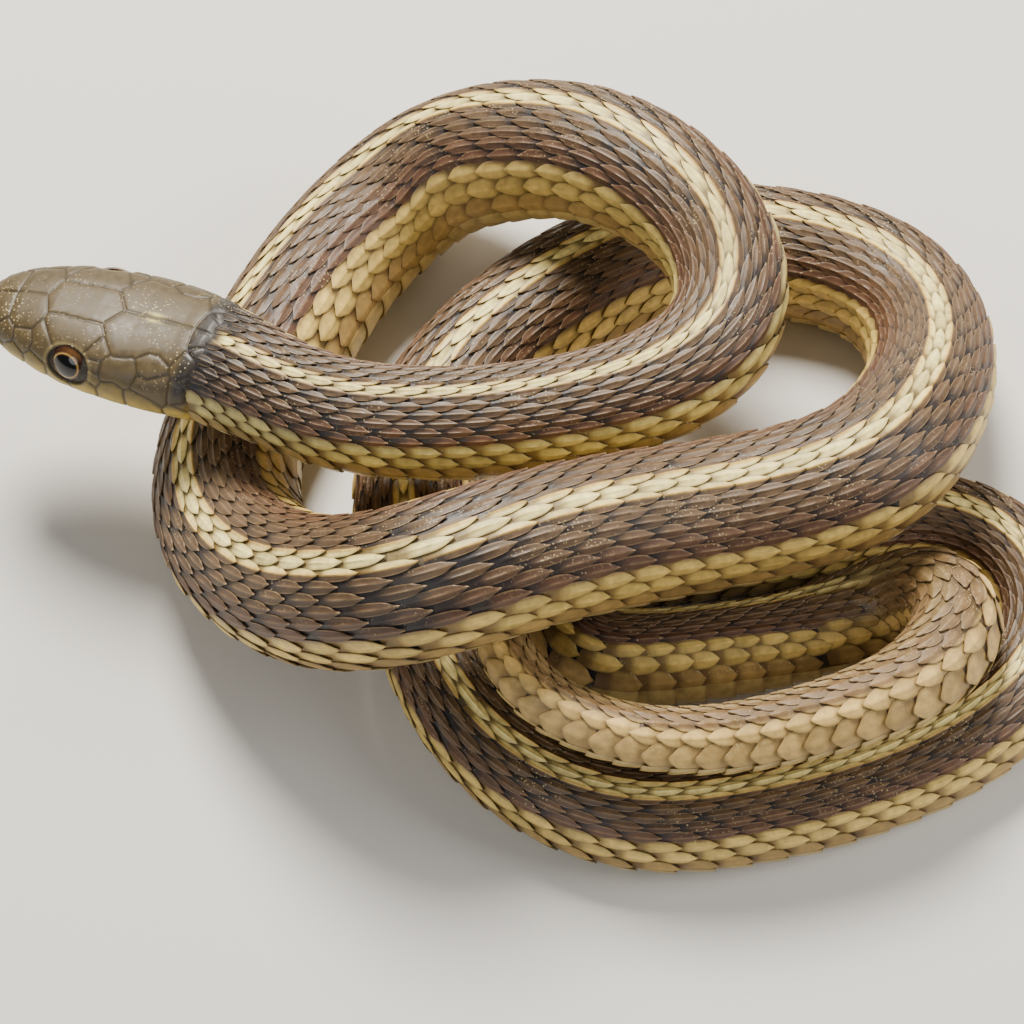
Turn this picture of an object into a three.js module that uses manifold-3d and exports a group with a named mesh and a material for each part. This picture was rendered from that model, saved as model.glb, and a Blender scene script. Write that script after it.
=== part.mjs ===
// Garter snake lying in a two-layer pile of loops, life size.
// Millimetres, +Z up. The floor is z = 0 and the head points towards -X.
//
// The whole animal is one swept body: a smooth route from snout to tail tip carries cross
// sections with a rounded back and a flatter belly. Thin gaps divide it into named lengths.

import * as THREE from 'three';
import { mergeVertices } from 'three/addons/utils/BufferGeometryUtils.js';
import Module from 'manifold-3d';

const solids = await Module();
solids.setup();

// Route of the backbone

// Each row is x, y, height of the section's centre, and how far the back leans over to the
// left of travel, in degrees. The rows steer a cubic B-spline, which passes close by them.
const MIDDLE_X = 2.731;         // middle of the pile, which becomes the origin
const MIDDLE_Y = 6.997;
const HEAD_ROUTE = [
  [-58.6, 20.8, 21.2, 4], [-50.3, 18.2, 21.3, 6], [-42.0, 15.5, 21.5, 6], [-34.0, 12.7, 21.8, 1],
];
const NECK_ROUTE = [
  [-28.5, 9.7, 22.2, -5], [-22.0, 5.8, 22.6, -4], [-15.0, 3.6, 22.8, 0], [-2.5, 3.2, 23.0, 4],
  [10.0, 5.5, 23.3, 4], [17.0, 8.5, 23.5, 2],
];
const FIRST_LOOP = [
  [23.0, 13.5, 23.6, 4], [25.0, 21.0, 24.0, 6], [22.5, 28.5, 25.2, 4], [16.0, 35.5, 25.6, 0],
  [8.5, 41.5, 22.8, -5], [0.0, 45.5, 18.0, -9], [-9.0, 47.5, 12.0, -18], [-16.5, 43.0, 7.6, -28],
  [-22.5, 35.0, 7.0, -36], [-27.0, 25.5, 7.0, -38], [-31.0, 16.5, 7.0, -38], [-33.0, 7.5, 6.9, -35],
];
const MIDDLE_LENGTH = [
  [-32.0, -1.5, 8.0, -30], [-26.5, -10.5, 13.0, -24], [-19.5, -16.0, 19.0, -18],
  [-11.5, -19.0, 26.0, -10], [-3.0, -16.5, 27.0, -4], [7.0, -12.0, 24.8, -2], [18.0, -8.0, 21.6, -2],
  [28.0, -5.5, 20.8, -2], [36.5, -3.0, 21.4, 0],
];
const SECOND_LOOP = [
  [43.0, 3.5, 19.6, 0], [48.0, 15.5, 13.4, 0], [48.5, 27.0, 8.0, 0], [44.5, 34.5, 6.5, -3],
  [37.0, 38.0, 6.5, -5], [28.5, 39.5, 6.6, -5], [20.0, 39.5, 6.6, -5], [12.0, 36.5, 6.6, -5],
  [4.0, 31.0, 6.6, -6], [-3.5, 24.0, 6.6, -8], [-9.0, 15.5, 6.5, -8], [-11.5, 7.0, 6.2, -8],
  [-11.0, -2.0, 5.9, -8], [-9.5, -11.0, 5.6, -8],
];
const OUTER_LENGTH = [
  [-6.5, -20.0, 5.3, -8], [-1.5, -27.5, 5.1, -6], [6.0, -33.0, 4.9, -2], [15.0, -35.5, 4.6, 3],
  [25.0, -34.5, 4.7, 8], [34.0, -32.5, 4.7, 10], [43.5, -29.0, 4.6, 12], [52.5, -23.5, 4.6, 12],
  [59.0, -15.5, 4.6, 10], [59.5, -6.5, 4.6, 6], [54.5, 0.2, 4.6, 0],
];
const HIDDEN_LENGTH = [
  [46.5, 3.0, 4.6, 0], [38.0, 1.5, 4.6, 0], [21.0, -1.3, 4.6, 0], [13.5, -2.0, 4.6, 12],
  [7.5, -4.2, 4.6, 30], [5.2, -10.4, 4.6, 44], [8.8, -15.8, 4.6, 48],
];
const INNER_LENGTH = [
  [15.0, -15.8, 4.6, 48], [22.5, -14.8, 4.6, 48], [29.5, -13.5, 4.6, 44], [36.0, -11.8, 5.6, 34],
  [41.5, -9.2, 6.9, 16],
];
const TAIL_ROUTE = [
  [46.0, -10.5, 11.4, -5], [48.5, -15.0, 14.0, -25], [46.5, -20.5, 15.0, -38],
  [42.0, -25.0, 15.3, -48], [35.5, -28.0, 15.3, -50], [28.0, -30.3, 15.2, -50],
  [20.5, -31.6, 15.2, -50], [13.5, -31.4, 15.4, -50], [7.0, -29.4, 15.6, -50], [2.0, -25.8, 15.7, -46],
  [-1.3, -20.0, 15.4, -40], [-1.6, -13.5, 15.2, -28], [0.6, -8.5, 15.4, -14], [5.2, -5.0, 14.6, 0],
  [11.8, -3.0, 13.4, 0], [18.6, -1.5, 12.2, 0],
];
const ROUTE = [
  ...HEAD_ROUTE, ...NECK_ROUTE, ...FIRST_LOOP, ...MIDDLE_LENGTH, ...SECOND_LOOP, ...OUTER_LENGTH,
  ...HIDDEN_LENGTH, ...INNER_LENGTH, ...TAIL_ROUTE,
].map(([x, y, height, lean]) => [x - MIDDLE_X, y - MIDDLE_Y, height, lean]);

// Girth along the body

// Distance behind the snout, then the size there. The eyes and jaws widen the head, the
// middle of the trunk is the thickest, and the tail begins near 594.
const HALF_WIDTH = [
  [0, 0.9], [0.5, 2.5], [1.5, 3.8], [3, 4.9], [5, 5.8], [8, 6.9], [12, 7.9], [16, 8.2], [20, 8.2],
  [24, 7.7], [28, 6.8], [31, 6.4], [36, 6], [65, 6], [90, 6.3], [114, 7.3], [134, 8.1], [252, 8.1],
  [310, 7.4], [370, 7.6], [410, 6.8], [435, 5.9], [477, 5.4], [520, 5.4], [545, 6], [578, 5.9],
  [602, 5.2], [627, 4.9], [677, 3.2], [697, 2.3], [719, 0.9],
];
const HEAD_TOP = [
  [0, 0.9], [0.5, 1.6], [1.5, 2.3], [3, 2.9], [5, 3.5], [9, 4.2], [14, 4.6], [19, 4.7], [24, 5.1],
  [31, 6.2],
];
const HEAD_BOTTOM = [
  [0, 0.8], [0.5, 1.4], [1.5, 1.9], [3, 2.3], [5, 2.7], [9, 3.3], [14, 3.9], [19, 4.3], [24, 4.8],
  [31, 5.95],
];
const HEAD_BLEND = 31;          // behind this the heights follow the width
const BACK_RATIO = 0.97;        // back height to half width on the body
const BELLY_RATIO = 0.93;       // belly depth to half width on the body
const HEAD_SQUARENESS = 2.5;    // exponent of the section's curve on the head
const BACK_SQUARENESS = 2.15;
const BELLY_SQUARENESS = 3;

// Divisions and fineness

const SNOUT_START = 0.02;      // the first section, a little behind the snout's point
const HEAD_END = 27;
const NECK_END = 74;
const TAIL_START = 594;
const TRUNK_COUNT = 12;
const TAIL_COUNT = 4;
const GAP = 0.3;                // between two lengths
const RING_STEP = 4.1;
const HEAD_STEP = 1.15;
const RING_SIDES = 16;
const HEAD_SIDES = 24;
const SPAN_POINTS = 24;         // fine points to one span of the spline
const SLOPE_REACH = 1.2;        // how far each way the direction is measured over
const WELD = 1e-4;              // corners nearer than this are one
const CREASE_START = 0.7;       // offset times curvature from which a bend's inner side packs up

// Mouth cut and eyes, measured from the head's axis.
const MOUTH_BACK = 21.5;
const MOUTH_HEIGHT = -1.2;
const MOUTH_SLOPE = -0.045;
const JAW_SIDE = 20;
const JAW_DEPTH = 12;
const EYE_BACK = 12.9;
const EYE_OUT = 6;
const EYE_UP = 1.2;
const EYE_LONG = 2.6;
const EYE_HIGH = 2.4;
const EYE_THICK = 1.75;
const EYE_LIFT = 20;            // degrees the eye's axis points up
const EYE_AHEAD = 10;           // degrees it points forward
const EYE_CLEARANCE = 0.1;
const EYE_ROUND = 18;
const EYE_ROWS = 12;

// Curves

function lookUp(table, at) {
  if (at <= table[0][0]) return table[0][1];
  for (let i = 1; i < table.length; i++) {
    const [end, high] = table[i];
    if (at > end) continue;
    const [start, low] = table[i - 1];
    const part = (at - start) / (end - start);
    return low + (high - low) * part;
  }
  return table[table.length - 1][1];
}

// Cubic B-spline through the rows, held at both ends by mirrored rows.
function smoothRoute(rows) {
  const mirror = (a, b) => a.map((value, i) => 2 * value - b[i]);
  const last = rows.length - 1;
  const held = [mirror(rows[0], rows[1]), ...rows, mirror(rows[last], rows[last - 1])];
  const points = [];
  for (let i = 0; i + 3 < held.length; i++) {
    for (let j = 0; j < SPAN_POINTS; j++) {
      const t = j / SPAN_POINTS;
      const weights = [
        (1 - t) ** 3 / 6, (3 * t ** 3 - 6 * t ** 2 + 4) / 6,
        (-3 * t ** 3 + 3 * t ** 2 + 3 * t + 1) / 6, t ** 3 / 6,
      ];
      points.push(held[i].map((_, k) =>
        weights.reduce((sum, weight, n) => sum + weight * held[i + n][k], 0)));
    }
  }
  points.push(rows[last]);
  return points;
}

const route = smoothRoute(ROUTE);
const travelled = [0];
for (let i = 1; i < route.length; i++) {
  const [a, b] = [route[i - 1], route[i]];
  travelled.push(travelled[i - 1] + Math.hypot(b[0] - a[0], b[1] - a[1], b[2] - a[2]));
}
const LENGTH = travelled[travelled.length - 1];

function rowAt(distance) {
  let i = travelled.findIndex((value) => value >= distance);
  if (i < 0) i = travelled.length - 1;
  if (i < 1) i = 1;
  const part = (distance - travelled[i - 1]) / (travelled[i] - travelled[i - 1]);
  return route[i].map((value, k) => route[i - 1][k] + part * (value - route[i - 1][k]));
}

// Centre, directions and bend at a distance behind the snout.
function stationAt(distance) {
  const reach = SLOPE_REACH;
  const centre = new THREE.Vector3(...rowAt(distance));
  const before = new THREE.Vector3(...rowAt(Math.max(0, distance - reach)));
  const after = new THREE.Vector3(...rowAt(Math.min(LENGTH, distance + reach)));
  const along = after.clone().sub(before).normalize();
  const turn = after.clone().add(before).sub(centre.clone().multiplyScalar(2));
  turn.multiplyScalar(1 / reach ** 2);
  const lean = THREE.MathUtils.degToRad(rowAt(distance)[3]);
  const up = new THREE.Vector3(0, 0, 1).addScaledVector(along, -along.z).normalize();
  up.applyAxisAngle(along, -lean);
  const right = along.clone().cross(up);
  const inside = distance > reach && distance < LENGTH - reach;
  return { centre, along, up, right, bend: inside ? turn.dot(right) : 0 };
}

// Cross sections

function heightsAt(distance, halfWidth) {
  const back = distance < HEAD_BLEND ? lookUp(HEAD_TOP, distance) : halfWidth * BACK_RATIO;
  const belly = distance < HEAD_BLEND ? lookUp(HEAD_BOTTOM, distance) : halfWidth * BELLY_RATIO;
  return { back, belly };
}

function ringAt(distance, sides) {
  const { centre, up, right, bend } = stationAt(distance);
  const halfWidth = lookUp(HALF_WIDTH, distance);
  const { back, belly } = heightsAt(distance, halfWidth);
  const onBody = THREE.MathUtils.smoothstep(distance, HEAD_END, HEAD_BLEND);
  const ring = [];
  for (let i = 0; i < sides; i++) {
    const angle = (2 * Math.PI * i) / sides;
    const sine = Math.sin(angle);
    const cosine = Math.cos(angle);
    const bodySquareness = cosine > 0 ? BACK_SQUARENESS : BELLY_SQUARENESS;
    const power = 2 / THREE.MathUtils.lerp(HEAD_SQUARENESS, bodySquareness, onBody);
    let offset = halfWidth * Math.sign(sine) * Math.abs(sine) ** power;
    offset /= 1 + Math.max(0, offset * bend - CREASE_START);
    const height = (cosine > 0 ? back : belly) * Math.sign(cosine) * Math.abs(cosine) ** power;
    const point = centre.clone().addScaledVector(right, offset).addScaledVector(up, height);
    point.z = Math.max(point.z, 0);
    ring.push(point);
  }
  return ring;
}

// Closed tube through rings of equal count, capped flat at both ends.
function tubeGeometry(rings) {
  const sides = rings[0].length;
  const centres = [rings[0], rings[rings.length - 1]].map((ring) =>
    ring.reduce((sum, point) => sum.add(point), new THREE.Vector3()).divideScalar(sides));
  const points = [...rings.flat(), ...centres];
  const index = [];
  const firstCap = rings.length * sides;
  const lastRing = (rings.length - 1) * sides;
  for (let i = 0; i < sides; i++) {
    const next = (i + 1) % sides;
    for (let row = 0; row + 1 < rings.length; row++) {
      const here = row * sides;
      const ahead = here + sides;
      index.push(here + i, here + next, ahead + i, here + next, ahead + next, ahead + i);
    }
    index.push(firstCap, next, i, firstCap + 1, lastRing + i, lastRing + next);
  }
  const geometry = new THREE.BufferGeometry();
  geometry.setAttribute('position', new THREE.Float32BufferAttribute(
    points.flatMap((point) => [point.x, point.y, point.z]), 3));
  geometry.setIndex(index);
  return geometry;
}

function lengthGeometry(start, end, step, sides) {
  const count = Math.max(2, Math.round((end - start) / step));
  const rings = [];
  for (let i = 0; i <= count; i++) rings.push(ringAt(start + ((end - start) * i) / count, sides));
  return tubeGeometry(rings);
}

// Cutting and joining

function toSolid(geometry) {
  const merged = mergeVertices(new THREE.BufferGeometry()
    .setAttribute('position', geometry.getAttribute('position'))
    .setIndex(geometry.getIndex()), WELD);
  return new solids.Manifold(new solids.Mesh({
    numProp: 3,
    vertProperties: new Float32Array(merged.getAttribute('position').array),
    triVerts: new Uint32Array(merged.getIndex().array),
  }));
}

function toGeometry(solid) {
  const mesh = solid.getMesh();
  const geometry = new THREE.BufferGeometry();
  geometry.setAttribute('position', new THREE.Float32BufferAttribute(mesh.vertProperties, 3));
  geometry.setIndex([...mesh.triVerts]);
  return geometry;
}

// Places a geometry built around the head's axis: x to the right, y up, z ahead.
function inHead(geometry, distance) {
  const { centre, along, up, right } = stationAt(distance);
  geometry.applyMatrix4(new THREE.Matrix4().makeBasis(right, up, along.clone().negate()));
  geometry.translate(centre.x, centre.y, centre.z);
  return geometry;
}

function jawBlock(gap) {
  const depth = JAW_DEPTH;
  const length = MOUTH_BACK + depth - gap;
  const block = new THREE.BoxGeometry(JAW_SIDE, depth, length);
  block.translate(0, MOUTH_HEIGHT - depth / 2 - gap, length / 2 + gap - MOUTH_BACK);
  block.rotateX(-Math.atan(MOUTH_SLOPE));
  block.deleteAttribute('normal');
  block.deleteAttribute('uv');
  return toSolid(inHead(block, SNOUT_START));
}

function eyeBall(side, clearance) {
  const ball = new THREE.SphereGeometry(1, EYE_ROUND, EYE_ROWS);
  ball.deleteAttribute('normal');
  ball.deleteAttribute('uv');
  ball.rotateZ(Math.PI / 2);
  ball.scale(EYE_THICK + clearance, EYE_HIGH + clearance, EYE_LONG + clearance);
  ball.rotateZ(side * THREE.MathUtils.degToRad(EYE_LIFT));
  ball.rotateY(-side * THREE.MathUtils.degToRad(EYE_AHEAD));
  ball.translate(side * EYE_OUT, EYE_UP, 0);
  return inHead(ball, EYE_BACK);
}

// Finish

const finish = (color, roughness) => new THREE.MeshStandardMaterial({ color, roughness, metalness: 0 });
const HEAD_SKIN = finish(0x6f6650, 0.5);
const LIP_SKIN = finish(0xb3a258, 0.5);
const BODY_SKIN = finish(0x6a5443, 0.6);
const TAIL_SKIN = finish(0xa48a55, 0.6);
const EYE = finish(0x1c120c, 0.08);

const snake = new THREE.Group();
snake.name = 'garter_snake';

function add(name, geometry, material) {
  geometry.computeVertexNormals();
  const mesh = new THREE.Mesh(geometry, material);
  mesh.name = name;
  snake.add(mesh);
}

// Head

const wholeHead = toSolid(lengthGeometry(SNOUT_START, HEAD_END - GAP / 2, HEAD_STEP, HEAD_SIDES));
const sockets = [-1, 1].map((side) => toSolid(eyeBall(side, EYE_CLEARANCE)));
const socketed = sockets.reduce((head, socket) => head.subtract(socket), wholeHead);
add('head', toGeometry(socketed.subtract(jawBlock(-GAP / 2))), HEAD_SKIN);
add('lower_jaw', toGeometry(socketed.intersect(jawBlock(GAP / 2))), LIP_SKIN);
add('eye_left', eyeBall(-1, 0), EYE);
add('eye_right', eyeBall(1, 0), EYE);

// Neck, trunk and tail

function addLength(name, start, end, material) {
  const last = end >= LENGTH;
  add(name, lengthGeometry(start + GAP / 2, last ? LENGTH : end - GAP / 2, RING_STEP, RING_SIDES),
    material);
}

addLength('neck', HEAD_END, NECK_END, BODY_SKIN);
for (let i = 0; i < TRUNK_COUNT; i++) {
  const step = (TAIL_START - NECK_END) / TRUNK_COUNT;
  addLength(`trunk_${i + 1}`, NECK_END + i * step, NECK_END + (i + 1) * step, BODY_SKIN);
}
for (let i = 0; i < TAIL_COUNT; i++) {
  const step = (LENGTH - TAIL_START) / TAIL_COUNT;
  addLength(`tail_${i + 1}`, TAIL_START + i * step, TAIL_START + (i + 1) * step, TAIL_SKIN);
}

export default snake;
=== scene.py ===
"""Garter snake lying in a two-layer pile of loops: skin, scales, head plates and eyes.

The body is a swept surface. Its route and girth are the ones the solids were made from. A point
on it has three coordinates: its distance behind the snout in mm, its place round the section
(0 on the back, -1 and 1 on the belly's middle line) and its height above the skin. The skin, the
scales and the head plates are all laid out in those coordinates.
"""
import math

import bpy
import numpy as np
from mathutils import Matrix, Vector


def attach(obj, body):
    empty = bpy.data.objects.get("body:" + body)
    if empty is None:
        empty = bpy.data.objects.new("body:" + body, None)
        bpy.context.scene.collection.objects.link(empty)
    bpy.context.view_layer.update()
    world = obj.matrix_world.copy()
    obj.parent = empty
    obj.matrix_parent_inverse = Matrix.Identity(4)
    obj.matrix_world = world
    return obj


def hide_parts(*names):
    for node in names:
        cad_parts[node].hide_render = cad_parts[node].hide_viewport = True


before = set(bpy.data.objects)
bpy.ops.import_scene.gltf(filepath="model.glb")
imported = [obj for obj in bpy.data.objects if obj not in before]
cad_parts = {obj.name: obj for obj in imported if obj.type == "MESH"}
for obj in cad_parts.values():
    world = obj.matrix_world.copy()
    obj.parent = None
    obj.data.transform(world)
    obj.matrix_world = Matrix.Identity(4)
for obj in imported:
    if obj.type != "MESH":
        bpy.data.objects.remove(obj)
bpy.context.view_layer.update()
MM = 0.001
MIDDLE = (2.731, 6.997)     # middle of the pile on the route's own grid, in mm
rng = np.random.default_rng(7)

# Camera, lights and floor
CAMERA_TILT = math.radians(58)      # above the horizon, looking along +Y
CAMERA_DISTANCE = 340 * MM
FIELD_WIDTH = 114 * MM              # what the frame's width covers at the target
TARGET_HEIGHT = 10                  # mm above the floor
TARGET = Vector((-MIDDLE[0], -MIDDLE[1], TARGET_HEIGHT)) * MM
SENSOR = 36.0
NEAREST = 0.01                      # metres from the camera

camera_data = bpy.data.cameras.new("camera")
camera_data.sensor_width = SENSOR
camera_data.lens = SENSOR * CAMERA_DISTANCE / FIELD_WIDTH
camera_data.clip_start = NEAREST
camera = bpy.data.objects.new("camera", camera_data)
look = Vector((0, math.cos(CAMERA_TILT), -math.sin(CAMERA_TILT)))
camera.location = TARGET - look * CAMERA_DISTANCE
camera.rotation_euler = (math.pi / 2 - CAMERA_TILT, 0, 0)
bpy.context.scene.collection.objects.link(camera)
bpy.context.scene.camera = camera


def area_light(name, place_mm, size_mm, watts, color):
    data = bpy.data.lights.new(name, "AREA")
    data.shape = "DISK"
    data.size = size_mm * MM
    data.energy = watts
    data.color = color
    light = bpy.data.objects.new(name, data)
    light.location = Vector(place_mm) * MM
    light.rotation_euler = (TARGET - light.location).to_track_quat("-Z", "Y").to_euler()
    bpy.context.scene.collection.objects.link(light)


area_light("key_light", (-60, 300, 440), 230, 7.2, (1.0, 0.95, 0.86))
area_light("side_light", (380, -40, 260), 260, 1.2, (1.0, 0.97, 0.93))
area_light("front_light", (-220, -380, 300), 320, 0.8, (0.94, 0.97, 1.0))

world = bpy.data.worlds.new("studio")
world.use_nodes = True
world.node_tree.nodes["Background"].inputs["Color"].default_value = (0.96, 0.97, 1.0, 1)
world.node_tree.nodes["Background"].inputs["Strength"].default_value = 0.2
bpy.context.scene.world = world

# Route and girth, in mm
# Rows of x, y, height of the section's centre, and lean of the back to the left in degrees.
HEAD_ROUTE = [
    (-58.6, 20.8, 21.2, 4), (-50.3, 18.2, 21.3, 6), (-42.0, 15.5, 21.5, 6), (-34.0, 12.7, 21.8, 1),
]
NECK_ROUTE = [
    (-28.5, 9.7, 22.2, -5), (-22.0, 5.8, 22.6, -4), (-15.0, 3.6, 22.8, 0), (-2.5, 3.2, 23.0, 4),
    (10.0, 5.5, 23.3, 4), (17.0, 8.5, 23.5, 2),
]
FIRST_LOOP = [
    (23.0, 13.5, 23.6, 4), (25.0, 21.0, 24.0, 6), (22.5, 28.5, 25.2, 4), (16.0, 35.5, 25.6, 0),
    (8.5, 41.5, 22.8, -5), (0.0, 45.5, 18.0, -9), (-9.0, 47.5, 12.0, -18), (-16.5, 43.0, 7.6, -28),
    (-22.5, 35.0, 7.0, -36), (-27.0, 25.5, 7.0, -38), (-31.0, 16.5, 7.0, -38), (-33.0, 7.5, 6.9, -35),
]
MIDDLE_LENGTH = [
    (-32.0, -1.5, 8.0, -30), (-26.5, -10.5, 13.0, -24), (-19.5, -16.0, 19.0, -18),
    (-11.5, -19.0, 26.0, -10), (-3.0, -16.5, 27.0, -4), (7.0, -12.0, 24.8, -2), (18.0, -8.0, 21.6, -2),
    (28.0, -5.5, 20.8, -2), (36.5, -3.0, 21.4, 0),
]
SECOND_LOOP = [
    (43.0, 3.5, 19.6, 0), (48.0, 15.5, 13.4, 0), (48.5, 27.0, 8.0, 0), (44.5, 34.5, 6.5, -3),
    (37.0, 38.0, 6.5, -5), (28.5, 39.5, 6.6, -5), (20.0, 39.5, 6.6, -5), (12.0, 36.5, 6.6, -5),
    (4.0, 31.0, 6.6, -6), (-3.5, 24.0, 6.6, -8), (-9.0, 15.5, 6.5, -8), (-11.5, 7.0, 6.2, -8),
    (-11.0, -2.0, 5.9, -8), (-9.5, -11.0, 5.6, -8),
]
OUTER_LENGTH = [
    (-6.5, -20.0, 5.3, -8), (-1.5, -27.5, 5.1, -6), (6.0, -33.0, 4.9, -2), (15.0, -35.5, 4.6, 3),
    (25.0, -34.5, 4.7, 8), (34.0, -32.5, 4.7, 10), (43.5, -29.0, 4.6, 12), (52.5, -23.5, 4.6, 12),
    (59.0, -15.5, 4.6, 10), (59.5, -6.5, 4.6, 6), (54.5, 0.2, 4.6, 0),
]
HIDDEN_LENGTH = [
    (46.5, 3.0, 4.6, 0), (38.0, 1.5, 4.6, 0), (21.0, -1.3, 4.6, 0), (13.5, -2.0, 4.6, 12),
    (7.5, -4.2, 4.6, 30), (5.2, -10.4, 4.6, 44), (8.8, -15.8, 4.6, 48),
]
INNER_LENGTH = [
    (15.0, -15.8, 4.6, 48), (22.5, -14.8, 4.6, 48), (29.5, -13.5, 4.6, 44), (36.0, -11.8, 5.6, 34),
    (41.5, -9.2, 6.9, 16),
]
TAIL_ROUTE = [
    (46.0, -10.5, 11.4, -5), (48.5, -15.0, 14.0, -25), (46.5, -20.5, 15.0, -38),
    (42.0, -25.0, 15.3, -48), (35.5, -28.0, 15.3, -50), (28.0, -30.3, 15.2, -50),
    (20.5, -31.6, 15.2, -50), (13.5, -31.4, 15.4, -50), (7.0, -29.4, 15.6, -50),
    (2.0, -25.8, 15.7, -46), (-1.3, -20.0, 15.4, -40), (-1.6, -13.5, 15.2, -28),
    (0.6, -8.5, 15.4, -14), (5.2, -5.0, 14.6, 0), (11.8, -3.0, 13.4, 0), (18.6, -1.5, 12.2, 0),
]
ROUTE = (HEAD_ROUTE + NECK_ROUTE + FIRST_LOOP + MIDDLE_LENGTH + SECOND_LOOP + OUTER_LENGTH
         + HIDDEN_LENGTH + INNER_LENGTH + TAIL_ROUTE)

# Distance behind the snout, then the size there.
HALF_WIDTH = [
    (0, 0.9), (0.5, 2.5), (1.5, 3.8), (3, 4.9), (5, 5.8), (8, 6.9), (12, 7.9), (16, 8.2), (20, 8.2),
    (24, 7.7), (28, 6.8), (31, 6.4), (36, 6), (65, 6), (90, 6.3), (114, 7.3), (134, 8.1), (252, 8.1),
    (310, 7.4), (370, 7.6), (410, 6.8), (435, 5.9), (477, 5.4), (520, 5.4), (545, 6), (578, 5.9),
    (602, 5.2), (627, 4.9), (677, 3.2), (697, 2.3), (719, 0.9),
]
HEAD_TOP = [
    (0, 0.9), (0.5, 1.6), (1.5, 2.3), (3, 2.9), (5, 3.5), (9, 4.2), (14, 4.6), (19, 4.7), (24, 5.1),
    (31, 6.2),
]
HEAD_BOTTOM = [
    (0, 0.8), (0.5, 1.4), (1.5, 1.9), (3, 2.3), (5, 2.7), (9, 3.3), (14, 3.9), (19, 4.3), (24, 4.8),
    (31, 5.95),
]
HEAD_BLEND = 31
HEAD_END = 27
BACK_RATIO, BELLY_RATIO = 0.97, 0.93
HEAD_SQUARE, BACK_SQUARE, BELLY_SQUARE = 2.5, 2.15, 3.0
CREASE_START = 0.7
SPAN_POINTS = 24
REACH = 1.2                 # mm each way over which direction and bend are measured
TAIL_START = 612            # where the small trunk scales have given way to the tail's


def smooth_step(low, high, x):
    t = np.clip((np.asarray(x, float) - low) / (high - low), 0, 1)
    return t * t * (3 - 2 * t)


def look_up(rows, at):
    rows = np.array(rows, float)
    return np.interp(at, rows[:, 0], rows[:, 1])


def smooth_route(rows):
    """Cubic B-spline through the rows, held at both ends by mirrored rows."""
    rows = np.array(rows, float)
    rows[:, :2] -= MIDDLE
    held = np.vstack([2 * rows[0] - rows[1], rows, 2 * rows[-1] - rows[-2]])
    t = np.linspace(0, 1, SPAN_POINTS, endpoint=False)[:, None]
    weights = ((1 - t) ** 3 / 6, (3 * t**3 - 6 * t**2 + 4) / 6,
               (-3 * t**3 + 3 * t**2 + 3 * t + 1) / 6, t**3 / 6)
    spans = [sum(weights[k] * held[i + k] for k in range(4)) for i in range(len(held) - 3)]
    return np.vstack(spans + [rows[-1:]])


route = smooth_route(ROUTE)
travelled = np.r_[0, np.cumsum(np.linalg.norm(np.diff(route[:, :3], axis=0), axis=1))]
LENGTH = travelled[-1]


def rows_at(distance):
    return np.stack([np.interp(distance, travelled, route[:, k]) for k in range(4)], -1)


def unit(v):
    return v / np.maximum(np.linalg.norm(v, axis=-1, keepdims=True), 1e-12)


def stations(distance):
    """Centre, along, up, right and bend at each distance."""
    rows = rows_at(distance)
    before = rows_at(np.maximum(distance - REACH, 0))
    after = rows_at(np.minimum(distance + REACH, LENGTH))
    centre = rows[:, :3]
    along = unit(after[:, :3] - before[:, :3])
    turn = (after[:, :3] + before[:, :3] - 2 * centre) / REACH**2
    turn[(distance < REACH) | (distance > LENGTH - REACH)] = 0
    up = unit(np.array([0, 0, 1.0]) - along * along[:, 2:3])
    right = np.cross(along, up)
    lean = np.radians(rows[:, 3:4])
    up = up * np.cos(lean) - right * np.sin(lean)
    right = np.cross(along, up)
    return centre, along, up, right, (turn * right).sum(1)


# The body's outer surface
STEP = 0.25                 # mm between stations of the fine grid
ROUND = 192                 # places round the section, as fine grid columns
SOFTEN_REACH = 12           # stations each way over which the girth is smoothed
SOFTEN_WIDTH = 1.2          # mm
SNOUT = 6                   # mm of snout whose girth is left as it is


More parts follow.
